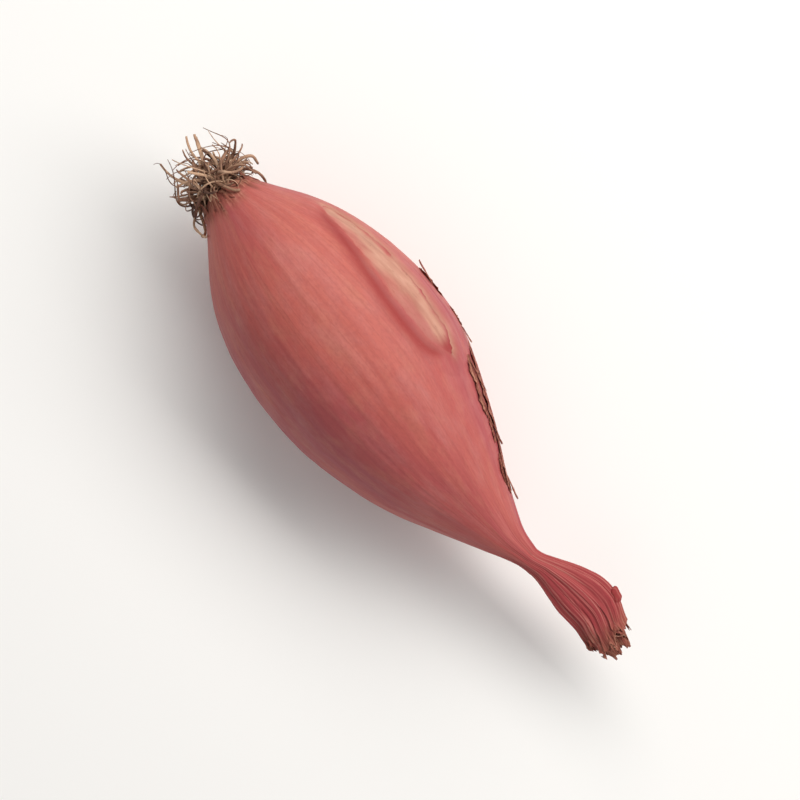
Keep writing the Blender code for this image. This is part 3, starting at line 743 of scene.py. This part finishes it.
def flank_shreds():
    """What is left of an older skin along the flank: ragged brown flakes, and threads torn from them."""
    draw = random.Random(SHRED_SEED + 1)
    flakes = [  # first, last, low, width, roll, tear, dryness
        (45.6, 60.5, 1, 4.4, 0.3, 0.7, 0.9),
        (47.4, 58.0, 19, 2.4, 0.35, 0.55, 1.0),
        (59.5, 68.5, 4, 2.6, 0.35, 0.5, 0.95),
        (62.8, 67.4, 20, 1.4, 0.35, 0.3, 1.0),
    ]
    small_flakes = [
        (31.0, 36.6, 2, 1.7, 0.45, 0.25, 1.0),
        (39.0, 42.6, 3, 1.0, 0.45, 0.15, 0.95),
        (57.4, 60.8, 22, 1.1, 0.4, 0.2, 1.0),
    ]
    made = [flake(*values, draw.randrange(1, 9999)) for values in flakes]
    made += [flake(*values, draw.randrange(1, 9999), brown_from=-0.75) for values in small_flakes]
    threads = [  # foot, angle, length, width, drift, lift, curl, dryness, heading, stand
        (35.2, 10, 5.4, 0.5, 3, 0.9, 0.3, 0.85, -1, 0.25),
        (42.2, 6, 3.6, 0.45, 7, 0.7, 0.3, 0.9, 1, 0.15),
        (47.0, 22, 6.5, 0.55, -3, 0.4, 0.1, 0.9, 1, 0.25),
        (57.5, 19, 4.4, 0.5, -2, 0.5, 0.2, 0.9, 1, 0.25),
        (65.5, 10, 5.2, 0.55, 5, 0.5, 0.2, 0.9, 1, 0.2),
    ]
    for *route, heading, stand in threads:
        made.append(strip(*route, draw.randrange(1, 9999), heading=heading, cup=0.6, tear=0.2, rows=60,
                          columns=9, film=FLAKE_FILM, hold=0.1, furrows=0, foot_width=0.7, wave=0.2, rag=0.1,
                          stand=stand, browns=(0.0, 0.1)))
    return one_piece("flank_shreds", made)


def rim_scales():
    """Broken scales of old skin round the root end, which lie over the socket's rim."""
    draw = random.Random(SCALE_SEED)
    made = []
    for number in range(SCALES):
        shift, foot, *shape, cup, dry = (draw.uniform(*span) for span in SCALE_SPANS)
        made.append(strip(foot, 360 * (number + shift) / SCALES, *shape, dry, draw.randrange(1, 9999),
                          heading=-1, cup=cup, tear=0.5, rows=16, columns=9, hold=0.35, furrows=0.04))
    return one_piece("rim_scales", made)


# The roots


def skin_start(radius):
    """How far from the root end the skin is at this distance from the axis."""
    along = 0.0
    while half_sizes(np.array(along))[1] < radius:
        along += 0.5 * MM
    return along


SKIN_STARTS = [skin_start(0.1 * k * MM) for k in range(130)]


def any_way(draw):
    """A vector drawn by chance."""
    return Vector([draw.uniform(-1, 1) for _ in range(3)])


def held_in_zone(position):
    """Holds a point within the roots' zone. Gives its distance from the axis, and where the skin is."""
    radius = math.hypot(position.y, position.z)
    if radius > ROOT_ZONE_RADIUS:
        position.y *= ROOT_ZONE_RADIUS / radius
        position.z *= ROOT_ZONE_RADIUS / radius
    return radius, SKIN_STARTS[int(min(radius, ROOT_ZONE_RADIUS) / (0.1 * MM))]


def root_path(draw, number):
    """The points of one dead root, by the same rule and seed as those of the solids."""
    around = number * GOLDEN_TURN
    spread = math.sqrt((number + 0.5) / ROOT_COUNT)
    lean = ROOT_LEAN[0] + (ROOT_LEAN[1] - ROOT_LEAN[0]) * spread
    outward = Vector((0, math.cos(around), math.sin(around)))
    position = outward * (PLATE_ROOTED * PLATE_RADIUS * spread)
    heading = (Vector((-1, 0, 0)) + outward * lean).normalized()
    curl_axis = any_way(draw).normalized()
    curl = draw.uniform(*ROOT_CURL)
    points = [position.copy()]
    for step in range(draw.randint(*ROOT_STEPS)):
        if step == ROOT_STEPS[0] - 1:
            curl_axis = (curl_axis + any_way(draw)).normalized()
        heading = Matrix.Rotation(curl, 3, curl_axis) @ heading
        heading = (heading + curl_axis * ROOT_DRIFT).normalized()
        position = position + heading * ROOT_STEP
        position.x = min(position.x, held_in_zone(position)[1] - CLEAR_OF_BODY)
        points.append(position.copy())
    return points


def keeps_apart(points):
    """True if a root's own turns stay clear of each other, and no step doubles back."""
    for i in range(len(points)):
        for j in range(i + 1, len(points)):
            gap = (points[i] - points[j]).length
            if gap < SHORTEST_STEP or (j - i > 2 and gap < CLEAR_OF_ITSELF):
                return False
    turns = [(b - a).angle(c - b) for a, b, c in zip(points, points[1:], points[2:])]
    return max(turns) < SHARPEST_TURN


def rootlet_path(draw):
    """The points of one of the fine rootlets between the roots, which wander and curl more."""
    around, spread = draw.uniform(0, 2 * math.pi), math.sqrt(draw.random())
    outward = Vector((0, math.cos(around), math.sin(around)))
    position = outward * (ROOTLETS_ROOTED * PLATE_RADIUS * spread)
    heading = (Vector((-1, 0, 0)) + outward * draw.uniform(*ROOTLET_LEAN)).normalized()
    curl_axis = any_way(draw).normalized()
    curl = draw.uniform(*ROOTLET_CURL)
    most = ROOT_ZONE_RADIUS
    points = [position.copy()]
    for _ in range(draw.randint(*ROOTLET_STEPS)):
        curl_axis = (curl_axis + ROOTLET_WANDER * any_way(draw)).normalized()
        heading = Matrix.Rotation(curl, 3, curl_axis) @ heading
        crowding = max(math.hypot(position.y, position.z) - ROOTLETS_TURN_BACK, 0) / most
        back = Vector((0.4, position.y / most, position.z / most))
        heading = (heading - back * TURN_BACK_STRENGTH * crowding).normalized()
        position = position + heading * ROOTLET_STEP
        radius, skin = held_in_zone(position)
        if position.x > skin - ROOTLET_CLEAR_OF_BODY and radius > ROOTLETS_TURN_BACK:
            break
        position.x = max(min(position.x, skin - ROOTLET_CLEAR_OF_BODY), -FARTHEST_ROOT)
        points.append(position.copy())
    return points


def rounded(points, fineness):
    """A smooth line through points, with this many steps between each two."""
    p = np.array([tuple(point) for point in points])
    p = np.concatenate((2 * p[:1] - p[1:2], p, 2 * p[-1:] - p[-2:-1]))
    line = []
    for i in range(1, len(p) - 2):
        for k in range(fineness):
            t = k / fineness
            line.append(
                0.5 * (2 * p[i] + (p[i + 1] - p[i - 1]) * t
                       + (2 * p[i - 1] - 5 * p[i] + 4 * p[i + 1] - p[i + 2]) * t**2
                       + (3 * p[i] - 3 * p[i - 1] + p[i + 1] - p[i + 2]) * t**3)
            )
    line.append(p[-2])
    line = np.array(line)
    for _ in range(ROOT_SMOOTHING):
        line[1:-1] = (line[:-2] + 2 * line[1:-1] + line[2:]) / 4
    return line


def dead_root_along(points, chance, fineness, thick, thin, flatness, sides):
    """One dead root through these points. It thins unevenly towards a broken end. Its thickness at both
    ends, thick and thin (mm), and its flatness are drawn from these spans."""
    base = np.array(middle(np.array(0.0)))
    line = rounded(points, fineness) + base
    line[:, 0] = np.maximum(line[:, 0], base[0] - FARTHEST_ROOT)
    thick, thin = chance.uniform(*thick) * MM, chance.uniform(*thin) * MM
    tone, flatness, seed = chance.random(), chance.uniform(*flatness), chance.randrange(1, 9999)
    t = np.linspace(0, 1, len(line))
    half = (thick + (thin - thick) * t**0.8) / 2 * (1 + line_noise(t, [(0.16, 11), (0.1, 29)], seed))
    half[-1] *= 0.35
    run = np.concatenate(([0], np.cumsum(np.linalg.norm(np.diff(line, axis=0), axis=1)))) / MM
    grain = np.stack((np.full_like(run, 13.7 * tone + seed % 17), np.full_like(run, seed % 29), run), axis=-1)
    tones = np.clip(tone + 0.18 * soft_noise(t, 0.5, 6, 1, seed + 2), 0, 1)
    return tube(line, half, flatness, sides, {"grain": grain, "tone": tones, "tip": t})


def roots():
    """The dead roots along the routes of the solids', and fine rootlets between them."""
    draw, chance = random.Random(ROOT_SEED), random.Random(ROOTLET_SEED)
    made = []
    for number in range(ROOT_COUNT):
        points = root_path(draw, number)
        while not keeps_apart(points):
            points = root_path(draw, number)
        made.append(dead_root_along(points, chance, *ROOT_SHAPE))
    for _ in range(ROOTLETS):
        made.append(dead_root_along(rootlet_path(chance), chance, *ROOTLET_SHAPE))
    return one_piece("roots", made)


def basal_plate():
    """The low corky disc that the roots grow from, ridged where old roots broke off."""
    base, turns = np.array(middle(np.array(0.0))), np.arange(PLATE_SIDES) / PLATE_SIDES
    outer, inner = -PLATE_PROUD, SOCKET_DEPTH - NODE_GAP
    profile = [
        (0.12, outer - 0.25 * MM), (0.3, outer - 0.2 * MM), (0.45, outer - 0.12 * MM),
        (0.6, outer - 0.05 * MM), (0.74, outer), (0.82, outer + 0.12 * MM), (PLATE_TAPER, outer + 0.3 * MM),
        (0.92, 0.2 * outer), (0.97, 0.4 * inner), (1.0, inner),
    ]
    rows = []
    for number, (share, x) in enumerate(profile):
        rough = layered_noise(turns, number / 9, [(1, 30, 9), (0.6, 60, 9)], PLATE_SEED)
        here = x + PLATE_ROUGHNESS * rough * (share < 0.95)
        radius = share * PLATE_RADIUS * (1 - 0.03 + 0.02 * rough)
        angle = 2 * np.pi * turns
        rows.append(np.stack((here, radius * np.cos(angle), radius * np.sin(angle)), axis=-1))
    points = np.concatenate((*rows, [[outer - 0.2 * MM, 0, 0], [inner, 0, 0]]))
    values = {"grain": points / MM, "tone": np.full(len(points), 0.4), "tip": np.zeros(len(points))}
    return one_piece("basal_plate", [(points + base, capped_faces(len(profile), PLATE_SIDES), values)])


# Materials


def linear(hex_colour):
    """An sRGB hex value as a linear colour."""
    parts = [int(hex_colour[i:i + 2], 16) / 255 for i in (1, 3, 5)]
    return (*[p / 12.92 if p <= 0.04045 else ((p + 0.055) / 1.055) ** 2.4 for p in parts], 1.0)


def node(tree, kind, inputs=None, stops=None, **settings):
    """Adds a node with its settings. Each input takes a value or a link from another node's output."""
    made = tree.nodes.new("ShaderNode" + kind)
    for name, value in settings.items():
        setattr(made, name, value)
    for place, value in (inputs or {}).items():
        if isinstance(value, bpy.types.NodeSocket):
            tree.links.new(value, made.inputs[place])
        else:
            made.inputs[place].default_value = value
    if stops:
        while len(made.color_ramp.elements) < len(stops):
            made.color_ramp.elements.new(0.5)
        for element, (position, colour) in zip(made.color_ramp.elements, stops):
            element.position, element.color = position, linear(colour)
    return made


def new_material(name, **shader_values):
    """A material with its Principled shader, whose even values are set on its own sockets."""
    made = bpy.data.materials.new(name)
    made.use_nodes = True
    shader = made.node_tree.nodes["Principled BSDF"]
    for socket, value in shader_values.items():
        shader.inputs[socket.replace("_", " ")].default_value = value
    return made, made.node_tree, shader


# The colour sockets of a Mix node, which share their names with its others
MIX_A, MIX_B, MIXED = 6, 7, 2


def dried_skin():
    """Dry outer leaf of a shallot, cured in air: a papery film drawn tight over the bulb.

    To the eye it is copper pink and mauve with a satin sheen, veined from root to neck, straw where
    the film is torn, and brown and dull where it is driest."""
    made, tree, shader = new_material(
        "dried_shallot_skin", IOR=1.45, Specular_IOR_Level=0.29, Coat_Weight=0.05, Coat_Roughness=0.45)
    grain = node(tree, "Attribute", attribute_name="grain").outputs["Vector"]
    straw, shade, dryness, vein, neck = (
        node(tree, "Attribute", attribute_name=name).outputs["Fac"]
        for name in ("straw", "shade", "dryness", "vein", "neck"))

    # Soft patterns, as (squeeze of the grain's length, which stretches them along the leaf, size across
    # in mm, detail, roughness, distortion). The grain is about four times as wide as the neck.
    pattern = {}
    for name, squeeze, size, detail, roughness, distortion in (
        ("broad", 0.33, 16, 2.0, 0.5, 0),  # broad patches of tone
        ("streak", 0.045, 1.5, 4.0, 0.6, 0.15),  # fibres of the leaf, about 0.4 mm apart on the neck
        ("dust", 0.55, 4.0, 5.0, 0.62, 0),  # dusty bloom
        ("tan", 0.5, 3.0, 4.0, 0.6, 0),  # tan patches
        ("speckle", 0.5, 0.4, 2.0, 0.6, 0),  # the film's fine grain
        ("fibre", 0.07, 1.0, 1.5, 0.5, 0.25),  # fibres about 0.3 mm wide on the neck
        ("mottle", 0.33, 2.2, 3.0, 0.6, 0),  # soft mottling of the straw
        ("fleck", 0.6, 0.7, 2.0, 0.7, 0),  # dark flecks in the straw, mostly smaller than this
        ("brown", 0.4, 1.1, 4.0, 0.65, 0),  # light and dark browns of the driest film
        ("crumple", 0.5, 0.6, 3.0, 0.6, 0),  # crumple of the dry film
    ):
        place = node(tree, "VectorMath", {0: grain, 1: (1, 1, squeeze)}, operation="MULTIPLY").outputs[0]
        look = {"Scale": 1 / size, "Detail": detail, "Roughness": roughness, "Distortion": distortion}
        pattern[name] = node(tree, "TexNoise", {"Vector": place, **look}).outputs["Fac"]

    # Hair veins: the edges of long cells about 1.7 mm wide and 80 mm long, each edge about 0.12 mm wide
    place = node(tree, "VectorMath", {0: grain, 1: (1, 1, 0.021)}, operation="MULTIPLY").outputs[0]
    cell = node(tree, "TexVoronoi", {"Vector": place, "Scale": 1 / 1.7, "Randomness": 1.0},
                feature="DISTANCE_TO_EDGE").outputs["Distance"]
    hair = node(tree, "MapRange", {0: cell, 1: 0.075, 2: 0.015, 3: 0.0, 4: 0.15}).outputs[0]
    strength = node(tree, "MapRange", {0: pattern["broad"], 1: 0.35, 2: 0.62, 3: 0.35, 4: 1.0}).outputs[0]
    hair = node(tree, "Math", {0: hair, 1: strength}, operation="MULTIPLY").outputs[0]

    # The tones of the body, the neck, the straw under the torn film, and the driest film
    tones = {"neck": linear("#95353A")}
    for name, by, stops in (
        ("body", "broad", [(0.34, "#A64C52"), (0.5, "#B45752"), (0.66, "#BC6156")]),
        ("straw", "mottle", [(0.32, "#A57260"), (0.5, "#B78470"), (0.7, "#C59681")]),
        ("brown", "brown", [(0.3, "#63352B"), (0.5, "#8E5041"), (0.72, "#BA8A71")]),
    ):
        tones[name] = node(tree, "ValToRGB", {0: pattern[by]}, stops=stops).outputs[0]

    # Layers of colour over them: where each pattern begins to show and shows in full, and its share there
    for name, by, begins, full, share, colour in (
        ("body", pattern["streak"], 0.48, 0.72, 0.2, "#CA806F"),
        ("body", pattern["streak"], 0.5, 0.28, 0.2, "#943F42"),
        ("body", vein, 0.0, 1.0, 0.16, "#873639"),
        ("body", pattern["dust"], 0.46, 0.7, 0.24, "#C08681"),
        ("body", pattern["tan"], 0.5, 0.7, 0.3, "#BE7963"),
        ("body", pattern["speckle"], 0.42, 0.7, 0.3, "#9A4B49"),
        ("body", hair, 0.0, 1.0, 1.0, "#8A3A38"),
        ("neck", pattern["streak"], 0.36, 0.66, 1.0, "#A24545"),
        ("neck", pattern["fibre"], 0.5, 0.66, 0.6, "#C48276"),
        ("neck", pattern["fibre"], 0.46, 0.3, 0.25, "#702830"),
        ("straw", pattern["fleck"], 0.62, 0.74, 0.55, "#8E5B4C"),
    ):
        covers = node(tree, "MapRange", {0: by, 1: begins, 2: full, 3: 0.0, 4: share}).outputs[0]
        tones[name] = node(tree, "Mix", {0: covers, MIX_A: tones[name], MIX_B: linear(colour)},
                           data_type="RGBA").outputs[MIXED]

    # The body turns into the neck, takes painted shade (a deep red) in the crease and at the fold where the
    # split ends, is straw in the split and brown where it is driest
    crease_shade = node(tree, "Math", {0: shade, 1: 0.88}, operation="MULTIPLY").outputs[0]
    colour = tones["body"]
    for covers, over in (
        (neck, tones["neck"]), (crease_shade, linear("#923230")), (straw, tones["straw"]), (dryness, tones["brown"]),
    ):
        colour = node(tree, "Mix", {0: covers, MIX_A: colour, MIX_B: over}, data_type="RGBA").outputs[MIXED]
    tree.links.new(colour, shader.inputs["Base Color"])

    # Satin, duller where it is dry, on the neck and along the pale streaks
    dull = node(tree, "MapRange", {0: pattern["streak"], 1: 0.3, 2: 0.7, 3: 0.46, 4: 0.58}).outputs[0]
    worn = node(tree, "Math", {0: dryness, 1: neck}, operation="MAXIMUM").outputs[0]
    rough = node(tree, "MapRange", {0: worn, 1: 0.0, 2: 1.0, 3: 0.0, 4: 0.3}).outputs[0]
    rough = node(tree, "Math", {0: dull, 1: rough}, operation="ADD").outputs[0]
    tree.links.new(rough, shader.inputs["Roughness"])

    # Fine ribs along the streaks, with the crumple of the film
    height = node(tree, "Math", {0: pattern["crumple"], 1: 0.35, 2: pattern["streak"]},
                  operation="MULTIPLY_ADD").outputs[0]
    bump = node(tree, "Bump", {"Strength": 0.55, "Distance": 0.12 * MM, "Height": height})
    tree.links.new(bump.outputs["Normal"], shader.inputs["Normal"])
    return made


def dead_root():
    """Dead shallot root, dried to a tough fibre: grey brown to tan, dull, with fine lengthwise furrows."""
    made, tree, shader = new_material("dead_root_fibre", IOR=1.45, Roughness=0.78)
    grain = node(tree, "Attribute", attribute_name="grain").outputs["Vector"]
    tone = node(tree, "Attribute", attribute_name="tone").outputs["Fac"]
    stops = [(0.05, "#5A3A2D"), (0.45, "#8F6852"), (0.9, "#C4A083")]
    colour = node(tree, "ValToRGB", {0: tone}, stops=stops).outputs[0]

    # Dark and pale patches about 1.2 mm long
    look = {"Scale": 1 / 1.2, "Detail": 4.0, "Roughness": 0.65}
    patch = node(tree, "TexNoise", {"Vector": grain, **look}).outputs["Fac"]
    for begins, full, share, over in ((0.5, 0.3, 0.7, "#4A2F25"), (0.56, 0.75, 0.5, "#C9A88C")):
        covers = node(tree, "MapRange", {0: patch, 1: begins, 2: full, 3: 0.0, 4: share}).outputs[0]
        colour = node(tree, "Mix", {0: covers, MIX_A: colour, MIX_B: linear(over)},
                      data_type="RGBA").outputs[MIXED]
    tree.links.new(colour, shader.inputs["Base Color"])

    # Furrows about 0.25 mm apart
    furrow = node(tree, "TexNoise", {"Vector": grain, "Scale": 1 / 0.25, "Detail": 2.0}).outputs["Fac"]
    bump = node(tree, "Bump", {"Strength": 0.5, "Distance": 0.08 * MM, "Height": furrow})
    tree.links.new(bump.outputs["Normal"], shader.inputs["Normal"])
    return made


def matte_board():
    """The pale matt board that it lies on."""
    return new_material("pale_matt_board", Roughness=0.9, Base_Color=linear("#F6F5F3"))[0]


# The setting


def studio():
    """A pale floor, a long soft light high on the flank's side, a weak fill, and a camera straight above."""
    half, level = FLOOR_SIZE / 2, -0.02 * MM
    corners = [(x * half, y * half, level) for x, y in ((-1, -1), (1, -1), (1, 1), (-1, 1))]
    mesh = bpy.data.meshes.new("floor")
    mesh.from_pydata(corners, [], [(0, 1, 2, 3)])
    mesh.materials.append(matte_board())
    floor = bpy.data.objects.new("floor", mesh)
    bpy.context.scene.collection.objects.link(floor)

    for name, place, length, width, power, tint in LIGHTS:
        lamp = bpy.data.lights.new(name, "AREA")
        lamp.shape, lamp.size, lamp.size_y, lamp.energy, lamp.color = "RECTANGLE", length, width, power, tint
        light = bpy.data.objects.new(name, lamp)
        light.location = place
        light.rotation_euler = (LIT_POINT - light.location).to_track_quat("-Z", "Y").to_euler()
        bpy.context.scene.collection.objects.link(light)
    world = bpy.data.worlds.new("studio")
    world.use_nodes = True
    background = world.node_tree.nodes["Background"]
    background.inputs["Color"].default_value = (1, 1, 1, 1)
    background.inputs["Strength"].default_value = ROOM_LIGHT
    bpy.context.scene.world = world
    bpy.context.scene.view_settings.view_transform = "Standard"

    camera = bpy.data.objects.new("camera", bpy.data.cameras.new("camera"))
    camera.data.lens = CAMERA_LENS
    turn = Matrix((PICTURE_RIGHT, PICTURE_UP, (0, 0, 1))).transposed().to_4x4()
    camera.matrix_world = Matrix.Translation(CAMERA_PLACE) @ turn
    bpy.context.scene.collection.objects.link(camera)
    bpy.context.scene.camera = camera


def dress(piece, material):
    piece.data.materials.append(material)
    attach(piece, "root")


studio()
skin_material, root_material = dried_skin(), dead_root()
bulb = bulb_skin()
for skin_piece in (bulb, torn_lip(), neck_sheaths(), neck_shreds(), flank_shreds(), rim_scales()):
    dress(skin_piece, skin_material)
tuft = roots()
for root_piece in (tuft, basal_plate()):
    dress(root_piece, root_material)
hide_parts("bulb")
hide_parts("root_tuft")
